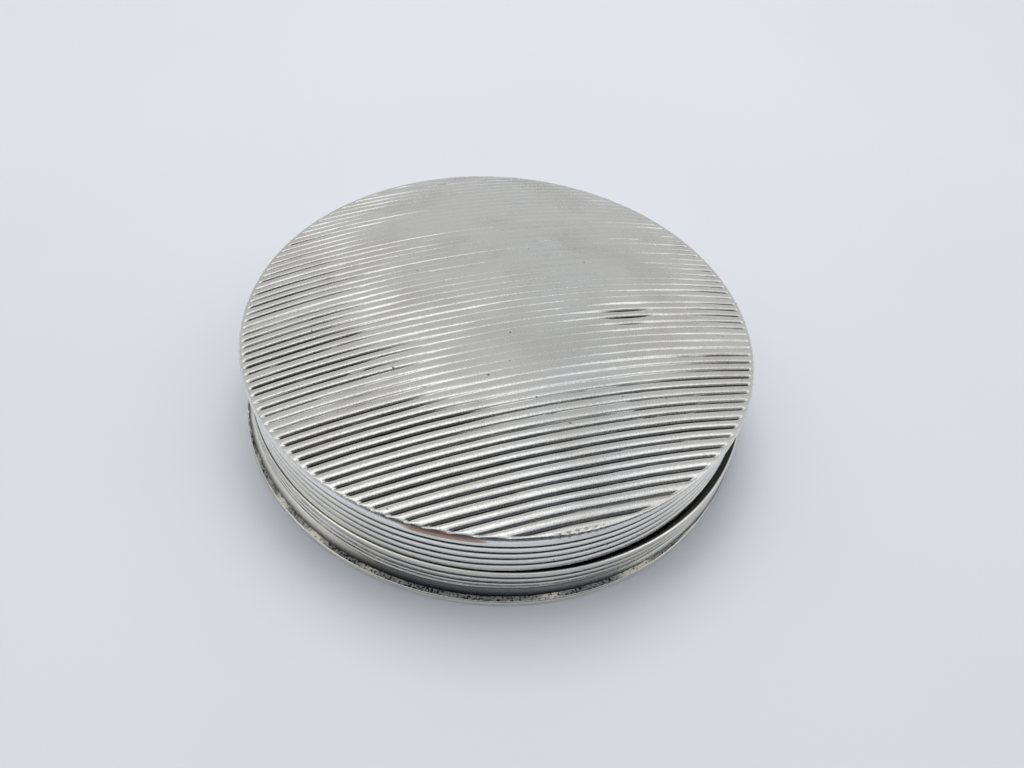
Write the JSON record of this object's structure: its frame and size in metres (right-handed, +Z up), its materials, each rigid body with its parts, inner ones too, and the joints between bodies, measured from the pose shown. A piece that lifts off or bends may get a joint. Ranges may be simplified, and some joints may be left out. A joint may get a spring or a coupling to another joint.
{
  "type": "mint box",
  "caption": "Round reeded silver mint box with a low domed lid hinged at the back to a shallow base that stands on a flat plate, with an inner bezel that the lid closes over.",
  "frame": {"origin": "middle of the base plate's underside, on the surface the box stands on", "axes": "+Z up through the lid, +Y toward the hinge at the back, -Y toward the front where the lid opens, +X to the right seen from the front"},
  "size_m": [0.056, 0.056, 0.0135],
  "materials": {
    "reeded_silver": "polished silver, worn bright on the reeds and dark in the grooves",
    "plain_silver": "plain silver with fine wear scratches",
    "old_solder": "rough grey solder, pitted and tarnished",
    "hinge_silver": "satin silver, tarnished in the corners"
  },
  "bodies": {
    "base": {"base_plate": "plain_silver", "base_solder_seam": "old_solder", "base_wall": "reeded_silver", "base_bezel": "plain_silver", "hinge_bearer_base": "hinge_silver", "hinge_knuckle_left": "hinge_silver", "hinge_knuckle_right": "hinge_silver", "hinge_pin": "hinge_silver"},
    "lid": {"lid_top": "reeded_silver", "lid_wall": "reeded_silver", "hinge_bearer_lid": "hinge_silver", "hinge_knuckle_middle": "hinge_silver"}
  },
  "joints": [
    {"name": "lid_hinge", "type": "hinge", "parent": "base", "child": "lid", "pos_m": [0, 0.02715, 0.00373], "axis": [-1, 0, 0], "range_deg": [0, 100]}
  ]
}
